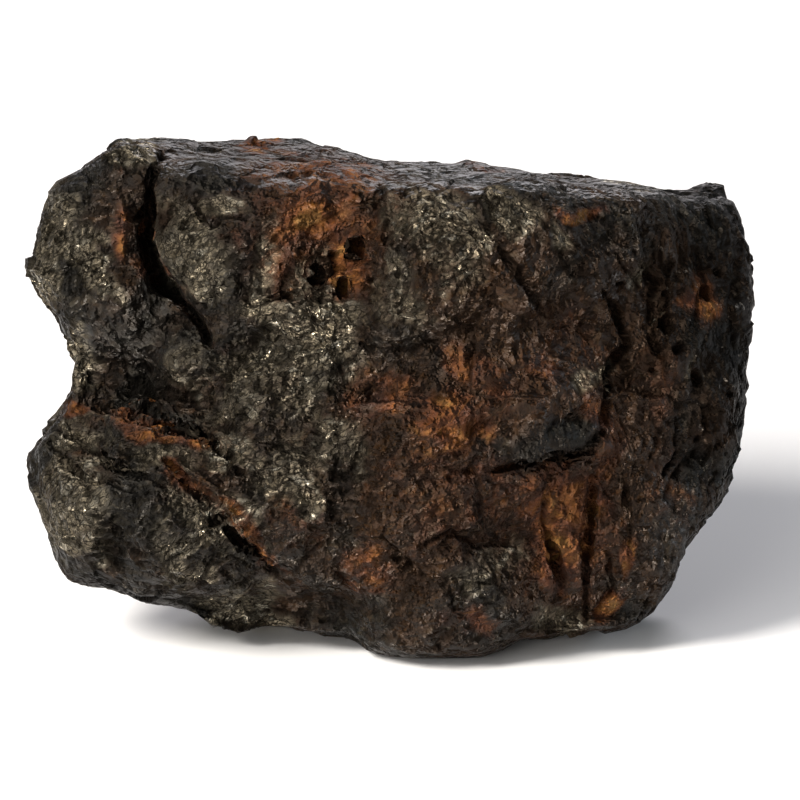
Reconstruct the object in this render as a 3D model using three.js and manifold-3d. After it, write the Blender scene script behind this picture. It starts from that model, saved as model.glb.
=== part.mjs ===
// A meteorite: one rough, dark, rust-stained stone, broader than it is tall, with a broken front,
// a notched left end, an open crack, rusted pits and a flat underside that it stands on.
// Millimetres, +Z up. The origin is on the flat of the underside, below the middle of the stone.
//
// The stone is shaped as it is seen by someone who looks square at its broad front: x to the right,
// y away from them, z up, all from the middle of the stone. Then it leans back onto its underside.
import * as THREE from "three";
import { ImprovedNoise } from "three/addons/math/ImprovedNoise.js";
import { mergeVertices } from "three/addons/utils/BufferGeometryUtils.js";
import Module from "manifold-3d";

// Driving dimensions
const LEAN = THREE.MathUtils.degToRad(18); // of the broad front, back from upright
const UNDERSIDE_DEPTH = 36.8; // from the middle of the stone down to the flat that it stands on
const FRONT_DEPTH = 29; // from the middle out to the broad front
const BACK_DEPTH = 28; // from the middle out to the back

// The outline of the stone, square on to its front, clockwise from the right end: [x, z]
const OUTLINE = [
  [61.2, 24], [60.4, 15], [60.9, 9], [59.6, 0], [58.6, -9], [56, -16.5], [50, -24], [46.3, -31.5],
  [43.8, -34.8], [40.5, -37], [33, -38.4], [26.5, -40.2], [23, -39.6], [16.5, -44], [13, -44.8],
  [3, -44.2], [-3, -42.6], [-7, -39.8], [-14, -38.2], [-19, -37.6], [-27, -38.4], [-30, -36.2],
  [-40, -33.4], [-48, -30.7], [-53.4, -30.8], [-55.4, -27], [-57.4, -20], [-61, -13], [-60.8, -9],
  [-57.2, -4.6], [-53.2, -0.5], [-51.6, 5], [-54.2, 13], [-57.4, 17.5], [-59, 23], [-57.4, 29],
  [-57.2, 34], [-53.8, 37.2], [-49.4, 40], [-46.8, 44.6], [-40, 45.8], [-33, 44.8], [-28, 42.2],
  [-20, 43.2], [-13, 42.4], [-4, 39.8], [5, 39.7], [12, 39.9], [14, 41.2], [25, 38.4], [35, 36.4],
  [51, 34.8], [55.6, 35.4], [57.6, 33], [59.6, 29],
];
const RIM_DEPTH = 0.12; // how far behind the middle the outline is widest, as a share of the way out
const SIDE_BULGE = 0.12; // how fast the sides draw in, in front of the rim and behind it
const SIDE_TWIST = 0.35; // radians that the outline turns by, from the rim to the back

// The broken faces: the way each faces, and how far it lies from the middle. The greater their
// sharpness, the less the edges between them are rounded.
const FACES = [
  { facing: [-0.04, -1, 0.06], distance: FRONT_DEPTH },
  { facing: [0.3, -1, -0.1], distance: FRONT_DEPTH + 3 },
  { facing: [0.62, -0.78, 0.05], distance: 45 }, // dark right end
  { facing: [0.5, -0.7, 0.5], distance: 50.5 },
  { facing: [0, -0.62, 0.78], distance: 43 }, // bevel above the rusty pocket
  { facing: [-0.55, -0.83, 0.1], distance: 42 },
  { facing: [-0.1, -0.75, -0.65], distance: 37.5 }, // undercut below the left end
  { facing: [0.2, -0.85, -0.5], distance: 44.5 },
  { facing: [0.09, -0.18, 0.98], distance: 40 }, // top
  { facing: [0.08, 0.95, 0.3], distance: BACK_DEPTH },
  { facing: [-0.6, 0.78, 0.15], distance: 38 },
  { facing: [0.7, 0.7, -0.05], distance: 42 },
  { facing: [-0.15, 0.62, 0.76], distance: 43 },
  { facing: [0.3, 0.6, 0.74], distance: 43 },
  { facing: [0.15, 0.9, -0.4], distance: 30 },
  { facing: [-0.5, 0.7, -0.5], distance: 38 },
  { facing: [-0.9, 0.35, 0.2], distance: 60 },
  { facing: [0.93, 0.3, 0.2], distance: 64 },
];
const FACE_SHARPNESS = 40;

// How finely the stone is divided, and how much more finely in front than behind
const DIVISIONS = 16;
const FRONT_CROWDING = 1.35;
const SPREAD = new THREE.Vector3(60, 36, 44); // the proportions of the ball that the divisions are even on

// Broken scraps all over the stone, each a slanting plate: domed ones with creases between them, or
// scooped ones with sharp ridges between them
const SCRAPS = [
  { across: 21, slant: 0.34, curve: 0.34, out: 1, salt: 1 },
  { across: 11, slant: 0.3, curve: 0.36, out: -1, salt: 2 },
];
const ROUGHNESS = [
  { across: 26, height: 1.2 },
  { across: 5.5, height: 0.4 },
];
const RIM_ROUGHNESS = 0.2; // the share of all this at the rim, where the outline is already rough

// Square lumps that stand out past the outline: where, how far they reach each way from there, and
// their turn in degrees up from the right
const LUMPS = [
  { at: [-21, 3, 41], half: [3.6, 3.2, 2.8], turn: -10 }, // rusty knob on the top edge
  { at: [52.6, 4, 32.4], half: [4, 4.6, 4.3], turn: -4 }, // upper right corner
];
const LUMP_SQUARENESS = 0.55; // 0 is an egg, 1 is a box
const LUMP_ROUGHNESS = 0.26;

// Each side of the stone, as someone square on to it sees it, with x to their right.
// Swellings and hollows: where, how far they reach, and how far they stand out, or in if negative.
// Cracks: the line that each follows, how wide its mouth is and how deep it goes. With a slope, it is
// a step under a ledge, whose lower wall runs out over that distance.
// Pits: where, half their width and height, and how deep.
const FRONT = {
  swellings: [
    { x: -52, z: 25, across: 10, tall: 11, out: 4.5 }, // upper left lobe
    { x: -46, z: 39, across: 7, tall: 7, out: 6 }, // its top corner, left of the crack
    { x: -30, z: 24, across: 6, tall: 9, out: 3.2 }, // flaky block right of the crack
    { x: -51, z: -17, across: 9, tall: 10, out: 5 }, // lower left lobe
    { x: 9, z: -36, across: 13, tall: 10, out: 7 }, // belly, over the lowest point
    { x: -25, z: -39, across: 17, tall: 8, out: -9 }, // undercut left of the belly
    { x: 37, z: -38, across: 12, tall: 8, out: -8 }, // undercut right of the belly
    { x: 9, z: 24, across: 12, tall: 11, out: 3.6 }, // knob under the top edge
    { x: 22, z: -1, across: 11, tall: 8, out: 2 }, // dark slab in the middle
    { x: -14, z: 8, across: 14, tall: 9, out: 2 }, // bright plane in the middle
    { x: -23, z: -16, across: 10, tall: 8, out: 1.6 },
    { x: -10, z: 26, across: 8, tall: 9, out: -4 }, // rusty pocket that the pits lie in
    { x: -51, z: 4, across: 14, tall: 6, out: -6 }, // fold between the two left lobes
    { x: -33, z: -1, across: 12, tall: 4.5, out: -2.2 }, // the fold running on to the right
    { x: -37, z: -25, across: 6, tall: 8, out: -4.4 }, // shade right of the lower left lobe
    { x: 51, z: 11, across: 6.5, tall: 12, out: -3.2 }, // dark pitted dip at the right end
    { x: 31, z: 18, across: 7, tall: 12, out: -2.6 }, // smooth dip left of the ridge
    { x: 27, z: -22, across: 8, tall: 12, out: -2.4 }, // rusty dip below the slab
    { x: -15, z: 37, across: 9, tall: 3, out: -2.6 }, // slot under the top edge
  ],
  cracks: [
    {
      line: [
        [-37.2, 40.5], [-38.6, 37], [-40, 31], [-39.6, 25.5], [-37.4, 19.5], [-32.6, 15], [-29.6, 8],
      ],
      width: 4,
      depth: 11,
    },
    { line: [[-50, -7.6], [-44, -11.3], [-37, -13.2]], width: 2, depth: 3.6 },
    { line: [[-36.6, -9.2], [-33, -14], [-28.6, -19.6], [-22.5, -24.5], [-17.5, -29.5]], width: 1.8, depth: 3 },
    { line: [[-47, -0.4], [-42, -1.2], [-37.5, -3], [-31, -6.6], [-27, -9.6]], width: 2.2, depth: 3.6 },
    { line: [[15.5, -11.6], [21, -10.2], [27, -9.2], [32, -7.4], [34.4, -4.6]], width: 2, depth: 3, slope: 9 },
    { line: [[33, -8.5], [33.4, -16], [32.4, -26], [31.6, -36]], width: 1.8, depth: 3.4 },
    { line: [[27.6, -17], [26.5, -25], [28.6, -30], [27, -35.5]], width: 1.6, depth: 2.6 },
    { line: [[-22.8, 15.4], [-15.5, 17.2], [-11.5, 19.6]], width: 1.6, depth: 2.8 },
    { line: [[-32.6, 32], [-30.8, 28.5], [-29, 25.6]], width: 1.5, depth: 2.8 },
  ],
  pits: [
    { x: -5.4, z: 24.9, across: 1.2, tall: 1.4, depth: 3.4 },
    { x: -11.7, z: 20.8, across: 1.2, tall: 1.8, depth: 3 },
    { x: -7.8, z: 18.2, across: 0.9, tall: 1.4, depth: 3 },
    { x: -9.9, z: 25.8, across: 0.7, tall: 0.8, depth: 1.8 },
    { x: -16.4, z: 36.8, across: 1.7, tall: 0.8, depth: 2.6 },
    { x: -13.6, z: 37.1, across: 1.3, tall: 0.9, depth: 2.8 },
    { x: -11, z: 36.8, across: 1.4, tall: 0.8, depth: 2.4 },
    { x: 45.5, z: 12.5, across: 1.2, tall: 1.9, depth: 2.4 },
    { x: 50.5, z: 3.4, across: 1.1, tall: 1.7, depth: 2.2 },
    { x: 52.6, z: 17.4, across: 1.5, tall: 1.5, depth: 2 },
  ],
};
const BACK = {
  swellings: [
    { x: -20, z: 6, across: 17, tall: 13, out: -4.5 }, // broad scoop
    { x: 28, z: 14, across: 13, tall: 11, out: 3.6 },
    { x: 8, z: -18, across: 16, tall: 9, out: 3 },
    { x: 38, z: -12, across: 11, tall: 9, out: -3.4 },
    { x: 2, z: 26, across: 14, tall: 7, out: -2.4 },
  ],
  cracks: [
    { line: [[-27, 19], [-20, 18], [-12, 15], [0, 13], [9, 6]], width: 2.4, depth: 4.5 },
    { line: [[14, -2], [19, -11], [22, -21], [30, -27]], width: 2, depth: 3.6 },
    { line: [[-14, -9], [-5, -7], [4, -8], [11, -5]], width: 2, depth: 2.8, slope: 8 },
  ],
  pits: [
    { x: -14, z: -4, across: 2.6, tall: 2, depth: 3.4 },
    { x: 24, z: 5.4, across: 1.6, tall: 1.8, depth: 2.8 },
    { x: 31, z: 3, across: 1.9, tall: 1.6, depth: 2.6 },
  ],
};
const CRACK_STEP = 3; // between the cuts that a crack is made of
const CRACK_WANDER = 0.35; // how far the line wanders, as a share of the width
const MOUTH_STANDOFF = 8; // how far in front of the stone a cut begins
const FLOOR_SHARE = 0.22; // the width of a crack's floor, as a share of its mouth

const noise = new ImprovedNoise();
const wasm = await Module();
wasm.setup();

// The same number from 0 to 1 for the same four numbers
function hash(i, j, k, salt) {
  const s = Math.sin(i * 127.1 + j * 311.7 + k * 74.7 + salt * 53.3) * 43758.5453;
  return s - Math.floor(s);
}

// How far out the outline lies in the direction of an angle, where a ray from the middle meets it
function outlineRadius(angle) {
  const towards = new THREE.Vector2(Math.cos(angle), Math.sin(angle));
  for (let i = 0; i < OUTLINE.length; i += 1) {
    const start = new THREE.Vector2(...OUTLINE[i]);
    const side = new THREE.Vector2(...OUTLINE[(i + 1) % OUTLINE.length]).sub(start);
    const along = start.cross(towards) / towards.cross(side);
    const out = start.cross(side) / towards.cross(side);
    if (along >= 0 && along <= 1 && out > 0) return out;
  }
  throw new Error("the outline has a gap");
}

// How far the stone reaches in a direction: where the broken faces and the outline's sides meet it.
// The underside is cut flat later, so it reaches a little further here.
function reach(direction) {
  let sum = 0;
  for (const { facing, distance } of FACES) {
    const towards = new THREE.Vector3(...facing).normalize().dot(direction);
    if (towards > 0) sum += (towards / distance) ** FACE_SHARPNESS;
  }
  const underside = direction.y * Math.sin(LEAN) - direction.z * Math.cos(LEAN);
  if (underside > 0) sum += (underside / (UNDERSIDE_DEPTH + 1.5)) ** FACE_SHARPNESS;
  const fromRim = direction.y - RIM_DEPTH;
  const angle = Math.atan2(direction.z, direction.x) + SIDE_TWIST * Math.max(0, fromRim);
  const radius = outlineRadius(angle) * (1 - SIDE_BULGE * fromRim * fromRim);
  sum += (Math.hypot(direction.x, direction.z) / radius) ** FACE_SHARPNESS;
  return sum ** (-1 / FACE_SHARPNESS);
}

// How far the scrap that a point of the surface lies on stands out there. Scraps are grown from
// jittered seeds, one to each cell of a grid, and where two overlap the outer one shows.
function scrapHeight(point, { across, slant, curve, out, salt }) {
  const cell = point.clone().divideScalar(across).floor();
  let height = -Infinity;
  for (let i = cell.x - 1; i <= cell.x + 1; i += 1) {
    for (let j = cell.y - 1; j <= cell.y + 1; j += 1) {
      for (let k = cell.z - 1; k <= cell.z + 1; k += 1) {
        const away = new THREE.Vector3(
          point.x - (i + hash(i, j, k, salt)) * across,
          point.y - (j + hash(j, k, i, salt)) * across,
          point.z - (k + hash(k, i, j, salt)) * across,
        );
        const tilt = new THREE.Vector3(
          hash(i, k, j, salt) - 0.5,
          hash(k, j, i, salt) - 0.5,
          hash(j, i, k, salt) - 0.5,
        );
        const rise = 2 * slant * tilt.dot(away) - (curve * away.lengthSq()) / across;
        height = Math.max(height, rise);
      }
    }
  }
  return out * (height + 0.08 * across * curve);
}

// How far the swellings and hollows of one side move a place on it out
function swell({ swellings }, place) {
  return swellings.reduce(
    (sum, { x, z, across, tall, out }) =>
      sum + out * Math.exp(-(((place.x - x) / across) ** 2) - ((place.z - z) / tall) ** 2),
    0,
  );
}

// An even ball's direction from the middle, drawn towards the front by a map that keeps the
// triangles' shape, and then spread to the stone's proportions
function crowd({ x, y, z }) {
  const more = FRONT_CROWDING ** 2;
  const whole = more + 1 - (more - 1) * y;
  const across = (2 * FRONT_CROWDING) / whole;
  return new THREE.Vector3(x * across, ((more + 1) * y - (more - 1)) / whole, z * across)
    .multiply(SPREAD)
    .normalize();
}

function toSolid(geometry) {
  geometry.deleteAttribute("normal");
  geometry.deleteAttribute("uv");
  const merged = mergeVertices(geometry, 1e-4);
  return new wasm.Manifold(
    new wasm.Mesh({
      numProp: 3,
      vertProperties: merged.attributes.position.array,
      triVerts: new Uint32Array(merged.index.array),
    }),
  );
}

function toGeometry(solid) {
  const { vertProperties, triVerts } = solid.getMesh();
  const geometry = new THREE.BufferGeometry();
  geometry.setAttribute("position", new THREE.BufferAttribute(vertProperties, 3));
  geometry.setIndex(new THREE.BufferAttribute(triVerts, 1));
  return geometry;
}

// The stone before it is cracked and pitted
function makeBlock() {
  const ball = new THREE.IcosahedronGeometry(1, DIVISIONS);
  ball.deleteAttribute("normal");
  ball.deleteAttribute("uv");
  const block = mergeVertices(ball, 1e-5);
  const position = block.attributes.position;
  const point = new THREE.Vector3();
  for (let i = 0; i < position.count; i += 1) {
    const direction = crowd(point.fromBufferAttribute(position, i));
    position.setXYZ(i, ...direction.multiplyScalar(reach(direction)));
  }
  block.computeVertexNormals();
  const normal = new THREE.Vector3();
  for (let i = 0; i < position.count; i += 1) {
    point.fromBufferAttribute(position, i);
    normal.fromBufferAttribute(block.attributes.normal, i);
    let height = 0;
    for (const scraps of SCRAPS) height += scrapHeight(point, scraps);
    for (const { across, height: rise } of ROUGHNESS) {
      height += rise * noise.noise(point.x / across, point.y / across, point.z / across);
    }
    height *= THREE.MathUtils.lerp(RIM_ROUGHNESS, 1, Math.abs(normal.y));
    const frontness = THREE.MathUtils.smoothstep(-normal.y, 0.1, 0.55);
    const backness = THREE.MathUtils.smoothstep(normal.y, 0.1, 0.55);
    const seenFromBehind = { x: -point.x, z: point.z };
    const out = backness * swell(BACK, seenFromBehind) - frontness * swell(FRONT, point);
    point.addScaledVector(normal, height);
    position.setXYZ(i, point.x, point.y + out, point.z);
  }
  return toSolid(block);
}

// A lump between an egg and a box, to join to the stone
function makeLump({ at, half, turn }) {
  const lump = new THREE.IcosahedronGeometry(1, 2);
  const position = lump.attributes.position;
  const point = new THREE.Vector3();
  for (let i = 0; i < position.count; i += 1) {
    point.fromBufferAttribute(position, i);
    const most = Math.max(Math.abs(point.x), Math.abs(point.y), Math.abs(point.z));
    const rough = 1 + LUMP_ROUGHNESS * noise.noise(2 * point.x + at[0], 2 * point.y, 2 * point.z);
    position.setXYZ(i, ...point.multiplyScalar(rough / most ** LUMP_SQUARENESS));
  }
  return toSolid(lump.scale(...half).rotateY(-THREE.MathUtils.degToRad(turn)).translate(...at));
}

// Where the stone's surface lies along y, at a place on the side that is seen. Past the outline,
// where there is no stone, it is the middle.
function surfaceAt(stone, x, z) {
  const probe = new THREE.BoxGeometry(0.2, 200, 0.2).translate(x, 0, z);
  const core = toSolid(probe).intersect(stone);
  return core.isEmpty() ? 0 : core.boundingBox().min[1];
}

// A wedge along a line across the stone, wide at its mouth and narrow at its floor. Outside the
// stone its walls go on at the slant that they have inside it.
function makeCrack(stone, { line, width, depth, slope }) {
  const curve = new THREE.CatmullRomCurve3(line.map(([x, z]) => new THREE.Vector3(x, 0, z)));
  const steps = Math.max(3, Math.round(curve.getLength() / CRACK_STEP));
  const corners = [];
  for (let i = 0; i <= steps; i += 1) {
    const middle = curve.getPointAt(i / steps);
    const along = curve.getTangentAt(i / steps);
    const across = new THREE.Vector3(along.z, 0, -along.x);
    const open = Math.sin(Math.PI * THREE.MathUtils.clamp(i / steps, 0.08, 0.92)) ** 0.5;
    const half = (width / 2) * open * (0.75 + 0.5 * hash(i, line.length, 3, width));
    middle.addScaledVector(across, width * CRACK_WANDER * (hash(i, 5, line.length, depth) - 0.5));
    const surface = surfaceAt(stone, middle.x, middle.z);
    const floor = half * FLOOR_SHARE;
    const below = slope ? slope * open : half;
    for (const [sideways, y] of [
      [-half - (half - floor) * (MOUTH_STANDOFF / depth), surface - MOUTH_STANDOFF],
      [below + (below - floor) * (MOUTH_STANDOFF / depth), surface - MOUTH_STANDOFF],
      [floor, surface + depth * open],
      [-floor, surface + depth * open],
    ]) {
      corners.push(middle.x + across.x * sideways, y, middle.z + across.z * sideways);
    }
  }
  const faces = [0, 2, 1, 0, 3, 2];
  for (let i = 0; i < steps; i += 1) {
    for (let j = 0; j < 4; j += 1) {
      const a = 4 * i + j;
      const b = 4 * i + ((j + 1) % 4);
      faces.push(a, b, b + 4, a, b + 4, a + 4);
    }
  }
  const last = 4 * steps;
  faces.push(last, last + 1, last + 2, last, last + 2, last + 3);
  const wedge = new THREE.BufferGeometry();
  wedge.setAttribute("position", new THREE.Float32BufferAttribute(corners, 3));
  wedge.setIndex(faces);
  return toSolid(wedge);
}

// A rounded pit, sunk into the side that is seen
function makePit(stone, { x, z, across, tall, depth }) {
  const hollow = new THREE.IcosahedronGeometry(1, 1).scale(across, depth, tall);
  return toSolid(hollow.translate(x, surfaceAt(stone, x, z), z));
}

// The stone with one side's cracks and pits cut into it
function carve(stone, { cracks, pits }) {
  const cuts = [
    ...cracks.map((crack) => makeCrack(stone, crack)),
    ...pits.map((pit) => makePit(stone, pit)),
  ];
  return cuts.reduce((left, cut) => left.subtract(cut), stone);
}

function turnAbout(solid) {
  return toSolid(toGeometry(solid).rotateZ(Math.PI));
}

function makeStone() {
  const block = LUMPS.reduce((whole, lump) => whole.add(makeLump(lump)), makeBlock());
  const carved = carve(turnAbout(carve(block, FRONT)), BACK);
  const leant = toGeometry(turnAbout(carved)).rotateX(-LEAN).translate(0, 0, UNDERSIDE_DEPTH);
  const aboveFloor = new THREE.BoxGeometry(300, 300, 300).translate(0, 0, 150);
  const pieces = toSolid(leant).intersect(toSolid(aboveFloor)).decompose();
  pieces.sort((a, b) => b.volume() - a.volume()); // a cut can free a crumb, which falls away
  return toGeometry(pieces[0]);
}

const stone = new THREE.Mesh(
  makeStone(),
  new THREE.MeshStandardMaterial({ color: 0x362e27, roughness: 0.6, metalness: 0.1 }),
);
stone.name = "meteorite_stone";

const meteorite = new THREE.Group();
meteorite.add(stone);
export default meteorite;
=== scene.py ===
import itertools
import math

import bpy
import numpy as np
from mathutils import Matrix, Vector


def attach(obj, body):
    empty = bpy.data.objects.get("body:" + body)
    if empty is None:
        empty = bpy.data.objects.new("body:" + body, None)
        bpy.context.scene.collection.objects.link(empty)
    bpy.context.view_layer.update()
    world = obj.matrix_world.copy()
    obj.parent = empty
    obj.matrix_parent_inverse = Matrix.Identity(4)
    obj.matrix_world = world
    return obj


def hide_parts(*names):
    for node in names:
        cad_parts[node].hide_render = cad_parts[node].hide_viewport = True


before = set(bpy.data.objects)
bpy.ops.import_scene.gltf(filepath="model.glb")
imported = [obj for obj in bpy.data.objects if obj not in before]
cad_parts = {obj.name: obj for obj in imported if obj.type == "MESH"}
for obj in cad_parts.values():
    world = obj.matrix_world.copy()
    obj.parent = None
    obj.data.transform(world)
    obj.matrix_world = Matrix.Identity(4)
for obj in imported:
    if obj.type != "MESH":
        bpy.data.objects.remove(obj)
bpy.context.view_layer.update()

# Lengths in this script are millimetres until they reach Blender, which takes metres. Only the
# places and sizes of the lights are written in metres.
MM = 0.001

# The stone leans back onto its underside. "Seen" places are those that someone who looks square at
# its broad front sees: x to the right, y away from them, z up, from the middle of the stone.
LEAN = math.radians(18)
UNDERSIDE_DEPTH = 36.8  # from the middle of the stone down to the floor

# Mesh
GRAIN_OF_MESH = 0.46  # size of one face
MOST_TRIANGLES = 194_000
SOFTENING = 4  # passes that take the flat facets off the carried-over solid
FOOT_FADE = 2.0  # height over which the broken surface fades out above the floor
BACK_STARTS = -0.12  # how far a face may turn to the viewer and still be thinned out

# Grain: the stone broke along lines that run one way within each region of it. The turns are in
# degrees up from the right, on the left and middle, the upper right and the lower right.
GRAIN_REGION = 13.0  # across
GRAIN_TURNS = {"left": 24, "upper right": -38, "lower right": 84}
GRAIN_SWING = 46

# Broken plates that cover the whole stone: how far across, how many times longer along the grain,
# how much they slant and how much they dome. Those with out -1 are scooped out instead.
PLATES = [
    {"across": 8.5, "stretch": 1.4, "slant": 0.25, "dome": 0.19, "out": 1, "salt": 11},
    {"across": 3.3, "stretch": 1.9, "slant": 0.18, "dome": 0.14, "out": -1, "salt": 12},
    {"across": 1.7, "stretch": 1.9, "slant": 0.17, "dome": 0.13, "out": 1, "salt": 13},
]
# Thin layers, grain on top of all, and how far all of it is sunk to keep the stone's outline
LAYERS = {"spacing": 2.4, "depth": 0.55, "wander": 3.2, "across": 11.0}
GRAINS = [{"across": 4.5, "height": 0.3}, {"across": 1.4, "height": 0.1}]
SINK = 0.12
SMOOTH_LOSES = {"plates": 0.78, "grain": 0.5}  # the share of each that smooth places lose
SMALL_HOLLOW = 4  # passes of averaging that a hollow is told from its surroundings by
LARGE_HOLLOW = 60

# Places on the front, each a soft oval: x, z, half width, half height, turn in degrees, strength
RUST = [
    (-14, 30.6, 6, 3.4, 14, 0.95), (-43.4, 27.6, 2.2, 5.4, 4, 0.8), (-38.2, 20.5, 2, 5, 24, 0.6),
    (-21.8, 43.4, 3.4, 2.4, 0, 1.0), (-7.6, 21.6, 4.4, 5, 0, 0.95), (-13, 28, 14, 11, 0, 0.62),
    (-11, 38, 13, 4, -6, 0.66), (31.5, 30.2, 5.4, 1.3, -4, 0.95), (16.4, 39.4, 4, 1.2, -6, 0.7),
    (51.6, 16.6, 3, 4.2, 0, 0.95), (25.2, 5.8, 3.4, 2.4, -20, 0.62), (10, -3.6, 7, 5, -14, 0.88),
    (13, 5, 8, 3, -40, 0.66), (33.6, -4.4, 4, 8, 8, 0.8), (28.6, -20, 9.5, 13, 0, 0.78),
    (25.8, -27.6, 1.7, 5.4, 24, 0.9), (36.4, -34, 2.4, 2.6, 0, 0.95), (38.8, -26.6, 1.6, 4, -6, 0.75),
    (28.5, -17, 4, 8, 0, 0.92), (13.4, -36.4, 6, 2.8, 4, 0.6), (-33.6, -12.4, 3.4, 1.5, -42, 0.98),
    (-25, -20.2, 12, 2, -46, 0.92), (-51.6, -1.2, 2.8, 1.1, -18, 0.8), (-36.4, -5.4, 11, 1.5, -14, 0.86),
    (-4, -27.4, 6, 5, 0, 0.66), (-16, -20, 6, 4, -30, 0.45), (-1, 0.4, 7, 5, 0, 0.58),
    (-34.4, 16.6, 1.5, 1.4, 0, 0.72), (-28.2, 7.2, 1.6, 1.4, 0, 0.6), (-43.2, 37.6, 2, 1.5, 0, 0.5),
    (46, -14, 5, 10, 10, 0.4), (30, 9, 8, 9, 0, 0.42), (44, 2, 6, 8, 0, 0.45), (12, -14, 16, 12, 0, 0.5),
    (-24.5, 26, 3, 4, 0, 0.5), (-30, 22, 3, 3, 0, 0.36), (20, 2, 10, 9, 0, 0.36),
]
BROWN = [
    (18, 10, 20, 18, 0, 1.0), (4, -16, 15, 18, 0, 0.9), (36, 4, 15, 22, 0, 1.0),
    (30, -24, 14, 14, 0, 1.0), (-12, 29, 14, 11, 0, 0.9), (-24, -18, 12, 8, -40, 0.45),
    (-16, -34, 14, 5, 0, 0.4), (-40, 24, 6, 12, 0, 0.5), (-26, 2, 8, 8, 0, 0.4),
]
CLEAN = [  # neither rusty nor brown
    (26.4, -6.6, 7, 2.8, 8, 1.0), (-42, 11, 10, 5, -10, 0.85), (-33.4, 24, 3.6, 8, 24, 0.8),
]
# Bright metallic scraps on the front, with painted light: their colour is raised where the front is bright
METAL_AND_PAINTED_LIGHT = [
    (-33, 25, 4.6, 9, 24, 1.0), (-48.8, 22.4, 8.4, 2.2, -46, 1.0), (-54.4, 31.6, 3.6, 4.6, 0, 0.95),
    (-42.6, 41, 4.6, 3, 0, 0.75), (-28.4, 31, 4, 2.6, 0, 0.9), (-19, 1, 13, 15, 0, 0.62),
    (-12.6, 12, 7.6, 7, -6, 1.0), (5.4, 31, 5, 4, 0, 0.85), (19, 30.4, 5.4, 2.4, -34, 1.0),
    (28, 26.4, 3.6, 1.7, -34, 0.85), (1.6, 17.6, 6, 6, 0, 0.6), (10, 22, 6, 8, 0, 0.5),
    (-51.6, -17.8, 6.4, 8.8, 0, 1.0), (-27, -8.4, 4, 2.4, -20, 0.95), (-17, -12, 7, 6, 0, 0.6),
    (15, -27.4, 7, 5, 0, 0.5), (42, 20.6, 3, 4, -10, 0.5), (49.8, 5, 3, 4.4, 0, 0.5),
    (31.8, 4.2, 3, 1.5, 0, 0.9), (-31, -22, 10, 7, -20, 0.62), (-14, -13, 5, 8, 0, 0.75),
    (-13, 18.6, 5, 4.6, 0, 0.8), (-20.6, 22, 3, 6, 0, 0.75), (-57, 22, 3, 9, 0, 0.85),
    (-51, -5.5, 6, 3, -15, 0.85), (-31, 4.6, 5, 6.6, 0, 0.7), (-29, -19, 8, 6, -20, 0.75),
    (7, 28.5, 10, 4, -8, 0.92), (28, -37, 4, 2.4, 0, 0.85), (-28, -30, 10, 4, -14, 0.62),
    (-48.4, 27, 3, 1.8, -20, 0.9), (-24, -35.4, 10, 2.8, -8, 1.0), (38.6, 37, 5, 2, -4, 0.7),
    (-19.5, 14.6, 5, 3.4, -10, 1.0), (-51.6, 7, 4, 6, 0, 0.9), (-40, -8, 10, 2, -14, 0.5),
    (9.8, -38.5, 0.5, 0.4, 0, 1.0),
]
# Painted shade on the front: places whose colour is darkened where they lie in shade
SHADE = [
    (54, 12, 13, 30, 0, 1.0), (-42, 11.6, 9, 4.4, -10, 0.35), (-45.4, -23.8, 3.2, 5.4, 0, 0.95),
    (-46, -30.6, 8, 3.6, -20, 0.8), (-38, -22, 3, 3, 0, 0.5), (26, 20, 6, 7, 0, 0.25),
    (31.5, 22.6, 4.6, 5, -30, 0.95), (7.6, -17.6, 4.4, 4, 0, 0.7), (4, -24, 4, 3.4, 0, 0.5),
    (8, -1, 4, 3, -14, 0.4), (16, -4, 4, 3, 0, 0.4), (-30.6, 40, 6, 3, -4, 0.4),
    (-22, 42, 17, 4.8, -4, 0.6), (58, 25, 2, 4, 0, 0.5), (-38.8, 28, 1.7, 9, 4, 0.9),
    (-33.4, 15, 1.7, 6.6, 34, 0.9), (-27, 24, 1.4, 5, 24, 0.5), (26.6, -6.8, 6, 2.8, 8, 0.6),
    (-5.6, -12, 2.6, 7, 0, 0.5), (12, -42, 18, 3, 4, 0.4), (-38, 1.6, 7, 3.2, -10, 0.8),
    (38, 12, 3.4, 6, 0, 0.4), (-20, 38.4, 4, 2, 0, 0.3),
]
SMOOTH = [
    (26, 20, 7, 8, 0, 0.85), (-29, 36.6, 10, 3, -4, 0.9), (55, 14, 10, 27, 0, 0.75),
    (26.4, -6.4, 6.8, 3.2, 8, 1.0), (-42, 11, 11, 6, -10, 0.95), (-44, -30, 11, 3, -20, 0.8),
    (-18, -35, 8, 3.6, -6, 0.85), (12, 10, 9, 10, -40, 0.4), (-43.4, 27.6, 2, 5, 4, 0.7),
    (28, -20, 4, 9, 0, 0.5), (28, 6, 12, 8, 0, 0.55), (10, -43, 16, 3, 4, 0.7), (40, 12, 4, 7, 30, 0.5),
]

# Hollows and swellings of the front, as ovals whose strength is how far they stand out
DENTS = [
    (-38, 1.6, 8, 3.4, -10, -2.2), (-45.2, -23, 3.4, 6, 0, -2.6), (-46.6, 27, 5, 2.6, -30, -0.9),
    (-28, 25, 4, 7, 14, 0.7), (26, 20, 6, 7, 0, -0.8), (10, 6, 8, 5, -40, -0.6), (30, -20, 5, 9, 0, -0.7),
    (-51.6, -17.8, 4, 6, 0, 0.9), (44, 14, 6, 9, 0, -0.6), (-9, 21, 5, 6, 0, -1.2),
    (16, -29, 8, 5, 0, 0.8),
]

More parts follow.
